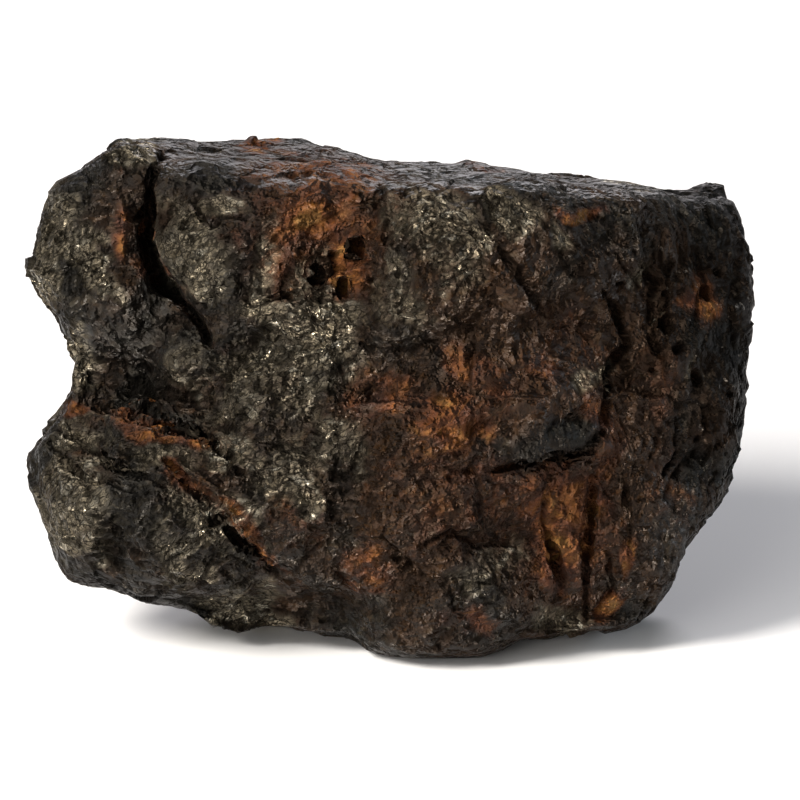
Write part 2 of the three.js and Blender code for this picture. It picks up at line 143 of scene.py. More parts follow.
# Ledges on the front: the line of each edge, how high it stands on its left as the line runs, and
# how far back from the edge the height is lost
LEDGES = [
    ([(-38, 40), (-39.3, 34), (-37.8, 27), (-35.6, 22), (-31, 17.6), (-29, 15)], 0.9, 8),
    ([(-4, 10), (-7, 14), (-10.5, 16.4), (-15.5, 15.6), (-18.4, 17.4), (-22.7, 15.2), (-29, 14.4)], 0.9, 8),
    ([(-25.6, -11.4), (-26.8, -8.7), (-31.8, -5.2), (-36.8, -4.4), (-44.3, -2.4), (-51, 0)], 1.1, 6),
    ([(-36.5, -9.4), (-31, -14.5), (-27.7, -17.4), (-24.8, -21.5), (-20.6, -25.7), (-14, -29)], 1.3, 9),
    ([(-9.6, -28), (-9.8, -14), (-8.8, -8.5), (-9.4, 3.3), (-8.4, 8)], 0.4, 7),
    ([(25.6, 14), (21.5, 19.7), (17.8, 25.2), (14, 30.9)], 1.1, 7),
    ([(34, -4), (35.2, 1.8), (35.4, 6), (38.4, 10.7), (35.7, 15.6), (33.4, 22)], 1.1, 8),
    ([(18.6, -11.2), (23.2, -9.9), (26.9, -9.1), (33, -8.5)], 1.5, 5),
    ([(-43.4, -24.6), (-39, -28), (-33, -29.8), (-26, -31), (-21, -30.6)], 1.0, 7),
    ([(-48, 36), (-46.4, 31.5), (-43, 30)], 0.7, 5), ([(-18, 22), (-23.5, 20.4), (-28, 24)], 0.7, 5),
    ([(2, -12), (7, -9.6), (12, -11), (16, -8)], 0.6, 6), ([(6, -24), (12, -21.4), (19, -23)], 0.8, 6),
    ([(-3, 24), (3, 21), (9, 21.6), (13, 17)], 0.6, 7), ([(42, -16), (46, -8), (46.6, 1)], 0.8, 6),
    ([(47.6, 24), (45, 14), (46.4, 6)], 0.5, 5), ([(-16, -4), (-21, -1.4), (-27, -2.6)], 0.5, 6),
]

# Ridges, and below the surface fine cracks, on the front: the line, how wide and how high or deep
RIDGES = [
    ([(-42, 15.6), (-46.3, 18.7), (-49.9, 23.2), (-56, 25)], 1.9, 0.9),
    ([(2.5, 30), (6.7, 33.6), (12.8, 34.4), (19, 32.2), (24, 29), (28.2, 26.8), (30.7, 23.5)], 1.5, 0.6),
    ([(-56, -8), (-52, -9.6), (-48, -12.6), (-44.6, -13)], 1.3, 0.7),
    ([(-54.6, -13), (-50, -15.4), (-48.4, -20), (-50, -25)], 1.2, 0.5),
]
FINE_CRACKS = [
    ([(-9, 16), (-8.6, 8), (-7.8, 2.5), (-8.8, -4), (-8.6, -8.4), (-9.6, -20), (-11.7, -31.7)], 0.5, 0.6),
    ([(-4.8, 9.4), (-3.4, 6.6), (-2, 5.2)], 0.7, 0.8),
    ([(14, 30.2), (17.8, 25.2), (24, 16), (26, 12.5)], 1.1, 0.5),
    ([(36.5, 16), (39, 9.4), (35.8, 4.4), (36, 1), (34.6, -5)], 1.1, 1.2),
    ([(-24.3, 20.2), (-24, 16.8), (-22.7, 15.3), (-20.2, 16), (-18.2, 17.7), (-16.8, 19.7)], 0.9, 1.1),
    ([(-31.4, 33.8), (-32.2, 31.7), (-31.4, 29.6), (-29.7, 28.4), (-27.2, 30), (-23.9, 29.8)], 0.9, 1.0),
    ([(-49, -0.6), (-36.8, -4.2), (-31.8, -5), (-26.8, -8.7), (-24.8, -11.4)], 1.3, 2.2),
    ([(-55, -5), (-50.5, -7), (-46.7, -9.9), (-43.3, -11.2)], 1.1, 1.8),
    ([(-56.5, -7), (-52.5, -11.2), (-49.2, -12.8), (-42.3, -14.6)], 1.0, 1.7),
    ([(-36.8, -9.6), (-31.4, -15.4), (-28.2, -18.4), (-25, -22.6), (-18.6, -28.4)], 1.0, 2.0),
    ([(25.7, -13.3), (24.8, -19.8), (26.9, -24.8), (27.3, -27.3)], 0.9, 1.0),
    ([(34, -18), (32.8, -25.3), (32.3, -31), (32.3, -37)], 0.8, 1.2),
    ([(17.6, -11.4), (20.4, -10.9), (26.9, -9.4), (33, -8.7)], 0.8, 1.4),
    ([(35.7, -25), (36.5, -31), (34, -35.2)], 0.9, 1.1),
    ([(38, -12), (39.6, -19), (39.2, -25)], 0.8, 0.9), ([(-57, 12), (-52.6, 9), (-50, 4)], 0.7, 0.9),
    ([(2.6, 28.4), (1.4, 24.8), (3, 20.6), (1.6, 14)], 0.6, 0.6),
    ([(40, 24), (43.4, 19), (42.4, 12), (45.4, 6)], 1.0, 0.6),
    ([(50, 26), (52, 19), (49.6, 11)], 0.9, 0.5),
    ([(5, -24.4), (10, -21.6), (14.6, -24), (19, -23.4)], 0.8, 0.9),
    ([(12, -31), (17, -29.4), (20, -32)], 0.7, 0.8), ([(-44.6, 41), (-42.6, 38), (-44, 35.6)], 0.8, 0.9),
    ([(57.6, 27), (56.6, 15), (57.4, 4)], 1.1, 0.5),
]
SMALL_PITS = [
    (-9.6, 23.6, 0.9, 1.2), (-11, 16.4, 0.8, 0.9), (-18.8, 26.4, 1.0, 0.8), (47.6, 8.4, 1.3, 1.2),
    (43, 4.6, 0.7, 0.8), (54.6, 21, 1.0, 1.1), (50.4, -6.4, 1.0, 0.9), (45.2, 17.4, 0.6, 0.8),
    (56, 1, 0.8, 0.8), (32.4, -10.6, 0.9, 0.9), (9.8, -12.6, 0.7, 0.7), (-29.4, 4.4, 0.9, 1.0),
    (-36, -20.6, 1.1, 1.2), (-5, 26.4, 0.8, 0.9), (-12.6, 20.6, 0.8, 1.0), (-3.4, 20, 0.7, 0.8),
]

# Colours of the stone, and of its painted shade and painted highlights, in linear red, green and blue
CRUST = (0.019, 0.0165, 0.013, 1)
BROWN_CRUST = (0.052, 0.024, 0.0095, 1)
PALE_SCRAPS = (0.075, 0.063, 0.045, 1)
PALE_BROWN_SCRAPS = (0.100, 0.050, 0.021, 1)
# Bright metallic scraps, pale enough to paint light on the stone
BRIGHT_METAL_AND_PAINTED_LIGHT = (0.54, 0.465, 0.335, 1)
GLINT = (0.62, 0.57, 0.46, 1)
# Pale flecks of painted highlight in the painted shade
PAINTED_SPARKLE = (0.5, 0.44, 0.38, 1)
# Painted shade: the near black that shaded places, hollows and creases are darkened towards
PAINTED_SHADE_COLOUR = (0.004, 0.0035, 0.003, 1)
RUST_TONES = [  # from thin to thick rust
    (0.42, (0.032, 0.011, 0.007)), (0.62, (0.092, 0.027, 0.010)), (0.76, (0.175, 0.052, 0.012)),
    (0.88, (0.290, 0.105, 0.019)), (1.0, (0.400, 0.200, 0.050)),
]

# Camera: square across the stone's front, and as far above the floor as its lean
PICTURE_WIDTH = 800 / 6  # at the stone
PICTURE_CENTRE = 1.67  # right of the stone's middle
LENS = 400.0
SENSOR = 36.0
NEAREST_SEEN = 10.0

# Floor, from its middle to its edge, and how far it lies below the stone so that they don't mix
FLOOR_HALF = 3000.0
FLOOR_GAP = 0.2
LIGHTS_AIM = (0, 0, 0.035)  # metres, about the middle of the stone


def randoms(cells, salt):
    """A random number from 0 to 1 for each whole-number cell, the same each time."""
    cells = cells.astype(np.int64)
    mixed = cells[:, 0] * 73856093 ^ cells[:, 1] * 19349663 ^ cells[:, 2] * 83492791 ^ salt * 9973
    mixed = (mixed ^ (mixed >> 13)) * 1274126177 & 0xFFFFFFFF
    mixed = (mixed ^ (mixed >> 15)) * 668265263 & 0xFFFFFFFF
    return ((mixed ^ (mixed >> 16)) & 0xFFFFFF) / 0xFFFFFF


def waves(points, across, salt):
    """Smooth noise from -1 to 1 whose hills are about this far across."""
    scaled = points / across
    cell = np.floor(scaled)
    part = scaled - cell
    part = part * part * part * (part * (part * 6 - 15) + 10)
    total = np.zeros(len(points))
    for corner in itertools.product((0, 1), repeat=3):
        share = np.prod(np.where(np.array(corner) == 1, part, 1 - part), axis=1)
        total += share * randoms(cell + corner, salt)
    return 2 * total - 1


def rough_waves(points, across, salt, turns=3):
    """Noise with finer and finer hills on it."""
    return sum(waves(points, across / 2**turn, salt + turn) / 1.7**turn for turn in range(turns))


def stirred(points, across, by, salt):
    """The points moved about by smooth noise, so that what is drawn on them bends."""
    moves = [waves(points, across, salt + axis) for axis in range(3)]
    return points + by * np.stack(moves, axis=1)


def hearts(points, salt):
    """For each cell around each point, the cell and the way from its random heart to the point."""
    cell = np.floor(points)
    for step in itertools.product((-1, 0, 1), repeat=3):
        home = cell + step
        heart = home + np.stack([randoms(home, salt + axis) for axis in range(3)], axis=1)
        yield home, heart, points - heart


def plates(points, across, stretch, slant, dome, out, salt):
    """How far overlapping slanted plates stand out, the outer one showing where two overlap."""
    scaled = points / (across * np.array([stretch, 1, 1]))
    best = np.full(len(points), -np.inf)
    for home, _, away in hearts(scaled, salt):
        tilt = np.stack([randoms(home, salt + 3 + axis) for axis in range(3)], axis=1) - 0.5
        rise = 2 * slant * (tilt * away).sum(axis=1) - dome * (away * away).sum(axis=1)
        best = np.maximum(best, rise)
    return out * across * (best - best.mean())


def grain_turn(seen):
    """Which way the grain runs at each point: one way within each region of the stone."""
    nearest = np.full(len(seen), np.inf)
    turn = np.zeros(len(seen))
    for home, heart, away in hearts(seen / GRAIN_REGION, 21):
        x, z = heart[:, 0] * GRAIN_REGION, heart[:, 2] * GRAIN_REGION
        right = np.where(z > -4, GRAIN_TURNS["upper right"], GRAIN_TURNS["lower right"])
        here = np.where(x < 14, GRAIN_TURNS["left"], right) + GRAIN_SWING * (randoms(home, 24) - 0.5)
        distance = (away * away).sum(axis=1)
        closer = distance < nearest
        nearest[closer] = distance[closer]
        turn[closer] = here[closer]
    return np.radians(turn)


def grain_places(seen):
    """The places that the grain is laid out on, stirred so that it doesn't run dead straight."""
    return stirred(seen, 9, 2.2, 51)


def along_grain(points, turn):
    """The points turned so that x runs along the grain."""
    x, z = points[:, 0], points[:, 2]
    cos, sin = np.cos(turn), np.sin(turn)
    return np.stack([x * cos + z * sin, points[:, 1], z * cos - x * sin], axis=1)


def layers(points, spacing, depth, wander, across):
    """Thin broken layers along the grain: gentle slopes that end in small steps."""
    height = points[:, 2] + wander * rough_waves(points, across, 31)
    part = (height / spacing) % 1.0
    step = smooth(part, 0.72, 1.0)
    return depth * (step - part)


def smooth(value, low, high):
    """0 below low, 1 above high, and a soft step between them."""
    share = np.clip((value - low) / (high - low), 0, 1)
    return share * share * (3 - 2 * share)


def to_seen(vectors, middle=0.0):
    """Places or directions as someone square on to the stone's front sees them."""
    y, z = vectors[:, 1], vectors[:, 2] - middle
    cos, sin = math.cos(LEAN), math.sin(LEAN)
    return np.stack([vectors[:, 0], y * cos - z * sin, y * sin + z * cos], axis=1)


def oval(seen, x, z, half_width, half_height, turn):
    """How much one soft oval covers each point, from 0 to 1."""
    cos, sin = math.cos(math.radians(turn)), math.sin(math.radians(turn))
    right, up = seen[:, 0] - x, seen[:, 2] - z
    along = (right * cos + up * sin) / half_width
    across = (up * cos - right * sin) / half_height
    return np.exp(-((along**2 + across**2) ** 1.5) * 0.7)


def ovals(seen, places):
    """The most that any of the soft ovals covers each point, from 0 to 1."""
    cover = np.zeros(len(seen))
    for *place, strength in places:
        cover = np.maximum(cover, strength * oval(seen, *place))
    return cover


def line_distance(seen, line):
    """How far each point is from a line, how far along it that is, and whether on its left."""
    nearest = np.full(len(seen), np.inf)
    share = np.zeros(len(seen))
    left = np.zeros(len(seen), bool)
    flat = seen[:, [0, 2]]
    for number, (start, end) in enumerate(zip(line, line[1:])):
        start, side = np.array(start), np.subtract(end, start)
        from_start = flat - start
        along = np.clip((from_start @ side) / (side @ side), 0, 1)
        away = np.linalg.norm(from_start - along[:, None] * side, axis=1)
        closer = away < nearest
        nearest[closer] = away[closer]
        share[closer] = (number + along[closer]) / (len(line) - 1)
        turned = side[0] * from_start[:, 1] - side[1] * from_start[:, 0]
        left[closer] = turned[closer] > 0
    return nearest, share, left


class Skin:
    """The stone's surface as arrays: points in millimetres, and the edges between them."""

    def __init__(self, mesh):
        self.mesh = mesh
        self.points = read(mesh.vertices, "co", 3) / MM
        self.edges = read(mesh.edges, "vertices", 2, np.int32)
        self.ways = np.bincount(self.edges.ravel(), minlength=len(self.points)).clip(1)

    def normals(self):
        self.write()
        return read(self.mesh.vertices, "normal", 3)

    def write(self):
        self.mesh.vertices.foreach_set("co", (self.points * MM).astype(np.float32).ravel())
        self.mesh.update()

    def blurred(self, values, passes, share=1.0):
        """Values or places averaged with their neighbours'."""
        values = values.astype(float)
        columns = values.reshape(len(values), -1)
        one, other = self.edges.T
        for _ in range(passes):
            for column in columns.T:
                sums = np.bincount(one, column[other], len(column))
                sums += np.bincount(other, column[one], len(column))
                column += share * (sums / self.ways - column)
        return columns.reshape(values.shape)

    def hollowness(self, passes):
        """How far each point lies below its surroundings."""
        away = self.blurred(self.points, passes) - self.points
        return (away * self.normals()).sum(axis=1)


def read(items, name, size, kind=np.float32):
    values = np.empty(len(items) * size, kind)
    items.foreach_get(name, values)
    return values.reshape(-1, size).astype(float if kind is np.float32 else kind)


def with_modifier(mesh, kind, free=None, **settings):
    """A new mesh: the old one with one modifier applied, only to its free points if these are given."""
    holder = bpy.data.objects.new("holder", mesh)
    bpy.context.scene.collection.objects.link(holder)
    modifier = holder.modifiers.new("change", kind)
    for name, value in settings.items():
        setattr(modifier, name, value)
    if free is not None:
        holder.vertex_groups.new(name="free").add(free.tolist(), 1.0, "REPLACE")
        modifier.vertex_group = "free"
    graph = bpy.context.evaluated_depsgraph_get()
    changed = bpy.data.meshes.new_from_object(holder.evaluated_get(graph))
    bpy.data.objects.remove(holder)
    bpy.data.meshes.remove(mesh)
    return changed


def standing(skin):
    """1 over the stone, falling to 0 on the flat that it stands on."""
    return smooth(skin.points[:, 2], 0.0, FOOT_FADE)


def towards_viewer(normals, low, high):
    """1 where the stone faces the viewer of its front, falling to 0 where it turns away."""
    return smooth(-to_seen(normals)[:, 1], low, high)


def topside(normals):
    """1 where the stone faces up, as its flat top does, and 0 elsewhere."""
    return smooth(normals[:, 2], 0.7, 0.93)


def shape_front(skin):
    """Sinks the hollows and raises the swellings, ledges and ridges that the front shows."""
    normals = skin.normals()
    seen = to_seen(skin.points, UNDERSIDE_DEPTH)
    bent = stirred(stirred(seen, 7, 1.3, 201), 2.2, 0.6, 204)
    height = np.zeros(len(seen))
    for *place, out in DENTS:
        height += out * oval(bent, *place)
    for line, high, run in LEDGES:
        away, along, left = line_distance(bent, line)
        ends = smooth(np.minimum(along, 1 - along), 0.0, 0.16)
        edge = np.where(left, smooth(1 - away / run, 0.0, 1.0), smooth(-away, -0.5, 0.0))
        height += high * ends * edge
    for line, wide, high in RIDGES:
        away, along, _ = line_distance(bent, line)
        ends = smooth(np.minimum(along, 1 - along), 0.0, 0.2)
        height += high * ends * smooth(-away, -wide, 0.0)
    facing = towards_viewer(normals, 0.05, 0.4)
    skin.points += normals * (height * facing * standing(skin))[:, None]


def break_surface(skin):
    """Covers the stone with broken plates, thin layers and grain, less so where it is smooth."""
    normals = skin.normals()
    seen = to_seen(skin.points, UNDERSIDE_DEPTH)
    facing = towards_viewer(normals, 0.05, 0.45)
    evenness = np.maximum(facing * ovals(seen, SMOOTH), 0.6 * smooth(waves(seen, 21, 41), 0.25, 0.7))
    evenness = np.maximum(evenness, 0.7 * topside(normals))
    roughness = 1 - SMOOTH_LOSES["plates"] * evenness
    places = grain_places(seen)
    grained = along_grain(places, grain_turn(places))
    height = sum(plates(grained, **plate) for plate in PLATES) * roughness
    height += layers(grained, **LAYERS) * roughness * smooth(waves(seen, 17, 61), -0.6, 0.2)
    kept = 1 - SMOOTH_LOSES["grain"] * evenness
    for grain in GRAINS:
        height += grain["height"] * rough_waves(grained, grain["across"], 71) * kept
    skin.points += normals * ((height - SINK) * standing(skin))[:, None]


def cut_fine_cracks(skin):
    """Sinks the fine cracks and small pits into the front."""
    normals = skin.normals()
    seen = to_seen(skin.points, UNDERSIDE_DEPTH)
    bent = stirred(seen, 2.4, 0.5, 81)
    facing = towards_viewer(normals, 0.1, 0.4)
    depth = np.zeros(len(seen))
    for line, width, deep in FINE_CRACKS:
        away, along, _ = line_distance(bent, line)
        taper = np.sin(np.pi * np.clip(along, 0.04, 0.96)) ** 0.35
        depth = np.maximum(depth, deep * taper * smooth(-away, -width, -0.2 * width))
    for x, z, radius, deep in SMALL_PITS:
        away = np.hypot(bent[:, 0] - x, bent[:, 2] - z)
        depth = np.maximum(depth, deep * smooth(-away, -radius, -0.35 * radius))
    skin.points -= normals * (depth * facing)[:, None]


def add_masks(skin):
    """Stores where the stone is rusty, brown, bright, shaded and so on, for its material; the bright places
    get painted light and the shaded and hollow ones painted shade.

    Rust, brown and the bright metal with its painted light follow the soft ovals on the front, and noise on
    the rest of the stone.
    """
    normals = skin.normals()
    seen = to_seen(skin.points, UNDERSIDE_DEPTH)
    facing = towards_viewer(normals, -0.1, 0.3)
    bent = stirred(stirred(seen, 6, 2.0, 91), 2, 0.7, 94)
    hollow = skin.hollowness(SMALL_HOLLOW)
    deep = skin.hollowness(LARGE_HOLLOW)
    patches = smooth(rough_waves(seen, 19, 101, 4), 0.1, 0.9)
    bright = smooth(rough_waves(seen, 15, 111), -0.1, 0.6)
    rust = facing * ovals(bent, RUST) + (1 - facing) * 0.7 * patches
    rust *= 0.75 + 0.25 * smooth(rough_waves(seen, 3.6, 121, 4), -0.5, 0.6)
    # Bright metal and painted light: from the ovals on the front, from noise elsewhere
    metal_and_painted_light = facing * ovals(bent, METAL_AND_PAINTED_LIGHT) + (1 - facing) * 0.75 * bright
    metal_and_painted_light = smooth(metal_and_painted_light + 0.25 * rough_waves(seen, 5, 141, 4), 0.3, 0.85)
    soiled = 1 - facing * ovals(bent, CLEAN)
    brown = facing * ovals(bent, BROWN) + (1 - facing) * smooth(rough_waves(seen, 26, 131), -0.5, 0.6)
    masks = {
        "rust": soiled * (rust + 0.14 * smooth(deep, 0.4, 2.0)),
        "brown": soiled * brown,
        "metal_and_painted_light": metal_and_painted_light,
        "shade": facing * ovals(bent, SHADE),
        "smooth": np.maximum(facing * ovals(bent, SMOOTH), 0.85 * topside(normals)),
        # Painted shade in the stone's hollows, small and deep
        "hollow": 0.7 * smooth(hollow, 0.0, 0.2) + 0.5 * smooth(deep, 0.3, 2.4),
        # How far each point stands out above its surroundings
        "stands_out": smooth(-hollow, 0.0, 0.16),
    }
    for name, values in masks.items():
        store(skin.mesh, name, np.clip(values, 0, 1))
    store(skin.mesh, "turn", grain_turn(grain_places(seen)))


def store(mesh, name, values):
    """Keeps one number for each point of the mesh, for the material to read by this name."""
    mesh.attributes.new(name, "FLOAT", "POINT").data.foreach_set("value", values.astype(np.float32))


def make_stone():
    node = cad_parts["meteorite_stone"]
    mesh = with_modifier(
        node.data.copy(), "REMESH", mode="VOXEL", voxel_size=GRAIN_OF_MESH * MM, adaptivity=0.0
    )
    skin = Skin(mesh)
    skin.points = skin.blurred(skin.points, SOFTENING, 0.5)
    shape_front(skin)
    break_surface(skin)
    cut_fine_cracks(skin)
    skin.points[:, 2] = skin.points[:, 2].clip(0)
    away_from_front = np.flatnonzero(to_seen(skin.normals())[:, 1] > BACK_STARTS)
    triangles = sum(len(face.vertices) - 2 for face in mesh.polygons)
    mesh = with_modifier(mesh, "DECIMATE", away_from_front, ratio=min(1.0, MOST_TRIANGLES / triangles))
    add_masks(Skin(mesh))
    mesh.materials.clear()
    mesh.materials.append(stone_material())
    mesh.shade_smooth()
    mesh.name = "meteorite"
    piece = bpy.data.objects.new("meteorite", mesh)
    bpy.context.scene.collection.objects.link(piece)
    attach(piece, "root")
    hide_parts("meteorite_stone")


class Nodes:
    """A short way to write a node tree down."""

    def __init__(self, tree):
        self.tree = tree

    def add(self, kind, inputs=None, **settings):
        node = self.tree.nodes.new("ShaderNode" + kind)
        for name, value in settings.items():
            setattr(node, name, value)
        for name, value in (inputs or {}).items():
            self.feed(node.inputs[name], value)
        return node

    def feed(self, socket, value):
        if isinstance(value, bpy.types.NodeSocket):
            self.tree.links.new(value, socket)
        else:
            socket.default_value = value

    def math(self, operation, *values, clamp=False):
        node = self.add("Math", dict(enumerate(values)), operation=operation, use_clamp=clamp)
        return node.outputs[0]

    def vector(self, operation, *values):
        node = self.add("VectorMath", dict(enumerate(values)), operation=operation)
        return node.outputs["Value" if operation == "DOT_PRODUCT" else "Vector"]

    def mix(self, share, one, other):
        node = self.add("Mix", data_type="RGBA")
        self.feed(node.inputs[0], share)
        self.feed(node.inputs[6], one)
        self.feed(node.inputs[7], other)
        return node.outputs[2]

    def remap(self, value, low, high, start=0.0, end=1.0):
        inputs = {"Value": value, "From Min": low, "From Max": high, "To Min": start, "To Max": end}
        return self.add("MapRange", inputs, interpolation_type="SMOOTHSTEP").outputs["Result"]

    def group(self, group, inputs):
        node = self.tree.nodes.new("ShaderNodeGroup")
        node.node_tree = group
        for name, value in inputs.items():
            self.feed(node.inputs[name], value)
        return node.outputs


def new_group(name, inputs, outputs):
    """An empty node group with named sockets."""
    tree = bpy.data.node_groups.new(name, "ShaderNodeTree")
    for socket, (kind, value) in inputs.items():
        made = tree.interface.new_socket(socket, in_out="INPUT", socket_type="NodeSocket" + kind)
        if value is not None:
            made.default_value = value
    for socket, kind in outputs.items():
        tree.interface.new_socket(socket, in_out="OUTPUT", socket_type="NodeSocket" + kind)
    nodes = Nodes(tree)
    given = tree.nodes.new("NodeGroupInput").outputs
    result = tree.nodes.new("NodeGroupOutput").inputs
    return tree, nodes, given, result


def scraps_group():
    """Small domed scraps that each lie at their own slant, with creases between them."""
    tree, nodes, given, result = new_group(
        "broken scraps",
        {
            "Place": ("Vector", None), "Across": ("Float", 1.0), "Slant": ("Float", 0.5),
            "Dome": ("Float", 0.5),
        },
        {"Height": "Float", "Chance": "Float", "Crease": "Float"},
    )
    size = nodes.math("DIVIDE", 1.0, given["Across"])
    cells = nodes.add("TexVoronoi", {"Vector": given["Place"], "Scale": size, "Randomness": 1.0})
    scaled = nodes.add("VectorMath", {0: given["Place"], "Scale": size}, operation="SCALE")
    away = nodes.vector("SUBTRACT", scaled.outputs[0], cells.outputs["Position"])
    tilt = nodes.vector("SUBTRACT", cells.outputs["Color"], (0.5, 0.5, 0.5))
    rise = nodes.math("MULTIPLY", nodes.vector("DOT_PRODUCT", tilt, away), given["Slant"])
    fall = nodes.math("MULTIPLY", nodes.vector("DOT_PRODUCT", away, away), given["Dome"])
    rise = nodes.math("SUBTRACT", rise, fall)
    nodes.feed(result["Height"], nodes.math("MULTIPLY", rise, given["Across"]))
    chance = nodes.add("SeparateColor", {"Color": cells.outputs["Color"]})
    nodes.feed(result["Chance"], chance.outputs[1])
    inputs = {"Vector": given["Place"], "Scale": size, "Randomness": 1.0}
    edges = nodes.add("TexVoronoi", inputs, feature="DISTANCE_TO_EDGE")
    nodes.feed(result["Crease"], nodes.remap(edges.outputs["Distance"], 0.0, 0.15, 1.0, 0.0))
    return tree


def rust_group():
    """Rust: how much of it there is at each place, and its colour, from red brown to ochre."""
    tree, nodes, given, result = new_group(
        "rust bloom",
        {"Place": ("Vector", None), "Amount": ("Float", 0.5), "Across": ("Float", 2.0)},
        {"Cover": "Float", "Color": "Color"},
    )
    size = nodes.math("DIVIDE", 1.0, given["Across"])
    inputs = {"Vector": given["Place"], "Scale": size, "Detail": 8.0, "Roughness": 0.68}
    bloom = nodes.add("TexNoise", inputs)
    raised = nodes.math("ADD", given["Amount"], bloom.outputs["Fac"])
    nodes.feed(result["Cover"], nodes.remap(raised, 0.68, 1.3))
    inputs = {"Vector": given["Place"], "Scale": nodes.math("MULTIPLY", size, 0.55), "Detail": 5.0}
    hue = nodes.add("TexNoise", inputs)
    lean = nodes.math("MULTIPLY_ADD", given["Amount"], 0.42, hue.outputs["Fac"])
    ramp = nodes.add("ValToRGB", {"Fac": lean})
    elements = ramp.color_ramp.elements
    while len(elements) < len(RUST_TONES):
        elements.new(0.5)
    for element, (position, colour) in zip(elements, RUST_TONES):
        element.position = position
        element.color = (*colour, 1.0)
    nodes.feed(result["Color"], ramp.outputs["Color"])
    return tree


def stone_material():
    material = bpy.data.materials.new("rusted stone")
    material.use_nodes = True
    tree = material.node_tree
    tree.nodes.clear()
    nodes = Nodes(tree)
    own = nodes.add("TexCoord").outputs["Object"]
    place = nodes.add("VectorMath", {0: own, "Scale": 1 / MM}, operation="SCALE").outputs[0]
    mask = {
        name: nodes.add("Attribute", attribute_name=name).outputs["Fac"]
        for name in ("rust", "brown", "metal_and_painted_light", "shade", "smooth", "hollow", "stands_out", "turn")
    }

    # Scraps, drawn out along the grain
    turned = nodes.add("VectorRotate", {"Vector": place, "Angle": mask["turn"]}, rotation_type="Y_AXIS")
    bend = nodes.add("TexNoise", {"Vector": place, "Scale": 0.55, "Detail": 2.0, "Roughness": 0.6})
    bending = nodes.vector("SUBTRACT", bend.outputs["Color"], (0.5, 0.5, 0.5))
    bent = nodes.vector("MULTIPLY_ADD", bending, (1.5, 1.5, 1.5), turned.outputs[0])
    slim = nodes.vector("MULTIPLY", bent, (0.55, 1.0, 1.0))
    scraps = scraps_group()
    coarse = nodes.group(scraps, {"Place": slim, "Across": 1.2, "Slant": 1.3, "Dome": 1.0})
    fine = nodes.group(scraps, {"Place": slim, "Across": 0.55, "Slant": 1.1, "Dome": 0.7})
    inputs = {"Vector": slim, "Scale": 1.6, "Detail": 4.0, "Roughness": 0.7}
    grain = nodes.add("TexNoise", inputs).outputs["Fac"]
    patch = nodes.add("TexNoise", {"Vector": place, "Scale": 0.28, "Detail": 3.0}).outputs["Fac"]
    rough = nodes.math("MULTIPLY_ADD", mask["smooth"], -0.4, nodes.remap(patch, 0.35, 0.6, 0.3, 0.65))
    rough = nodes.math("MAXIMUM", rough, 0.08)
    rough = nodes.math("MULTIPLY_ADD", mask["metal_and_painted_light"], 1.0, rough)
    # Painted shade in the creases between scraps: strongest where the surface is rough, weaker under rust
    crease_shade = nodes.math("MAXIMUM", coarse["Crease"], nodes.math("MULTIPLY", fine["Crease"], 0.6))
    crease_shade = nodes.math("MULTIPLY", crease_shade, nodes.remap(grain, 0.34, 0.52, 0.2, 1.3))
    crease_shade = nodes.math("MULTIPLY", crease_shade, rough, clamp=True)
    crease_shade = nodes.math("MULTIPLY", crease_shade, nodes.math("MULTIPLY_ADD", mask["rust"], -0.5, 1.0))

    # Colour: dark crust, brown in places, with bright metallic scraps and painted light where the stone is
    # bright
    tone = nodes.add("TexNoise", {"Vector": place, "Scale": 0.09, "Detail": 6.0, "Roughness": 0.62})
    browning = nodes.math("MULTIPLY_ADD", mask["brown"], 0.3, tone.outputs["Fac"])
    brown = nodes.remap(browning, 0.42, 0.8)
    crust = nodes.mix(brown, CRUST, BROWN_CRUST)
    spread = nodes.math("MULTIPLY_ADD", coarse["Chance"], 0.5, nodes.math("MULTIPLY", fine["Chance"], 0.5))
    speckle = nodes.remap(spread, 0.25, 0.85)
    speckle = nodes.math("MULTIPLY", speckle, nodes.remap(mask["smooth"], 0.0, 1.0, 1.0, 0.4))
    pale = nodes.mix(brown, PALE_SCRAPS, PALE_BROWN_SCRAPS)
    crust = nodes.mix(nodes.math("MULTIPLY", speckle, 0.4), crust, pale)
    # Painted light: the bright metallic scraps' share of the colour, also raised into metal below
    flashing = nodes.math("MULTIPLY", mask["metal_and_painted_light"], nodes.remap(spread, 0.2, 0.75, 0.3, 1.0))
    # The painted light is weaker where the stone does not stand out above its surroundings
    flashing = nodes.math("MULTIPLY", flashing, nodes.remap(mask["stands_out"], 0.0, 1.0, 0.7, 1.0))
    bright = nodes.mix(flashing, crust, BRIGHT_METAL_AND_PAINTED_LIGHT)
    glint = nodes.remap(coarse["Chance"], 0.76, 0.92)
    glint = nodes.math("MULTIPLY", glint, nodes.remap(fine["Chance"], 0.15, 0.6, 0.3, 1.0))
    glint = nodes.math("MULTIPLY", glint, nodes.remap(mask["metal_and_painted_light"], 0.1, 0.8, 0.04, 1.0))
    bright = nodes.mix(glint, bright, GLINT)
    rust = nodes.group(rust_group(), {"Place": bent, "Amount": mask["rust"], "Across": 2.6})
    cover = nodes.math("MULTIPLY", rust["Cover"], nodes.remap(flashing, 0.3, 1.0, 1.0, 0.45))
    rusted = nodes.mix(cover, bright, rust["Color"])
    # Painted shade: colour darkened towards near black in shaded places, hollows and creases; rust shows
    # through half of the shaded places
    shade = nodes.math("MULTIPLY", mask["shade"], nodes.math("MULTIPLY_ADD", cover, -0.5, 1.0))
    painted_shade = nodes.math("ADD", mask["hollow"], shade, clamp=True)
    painted_shade = nodes.math("MAXIMUM", nodes.math("MULTIPLY", painted_shade, 0.82), nodes.math("MULTIPLY", crease_shade, 0.9))
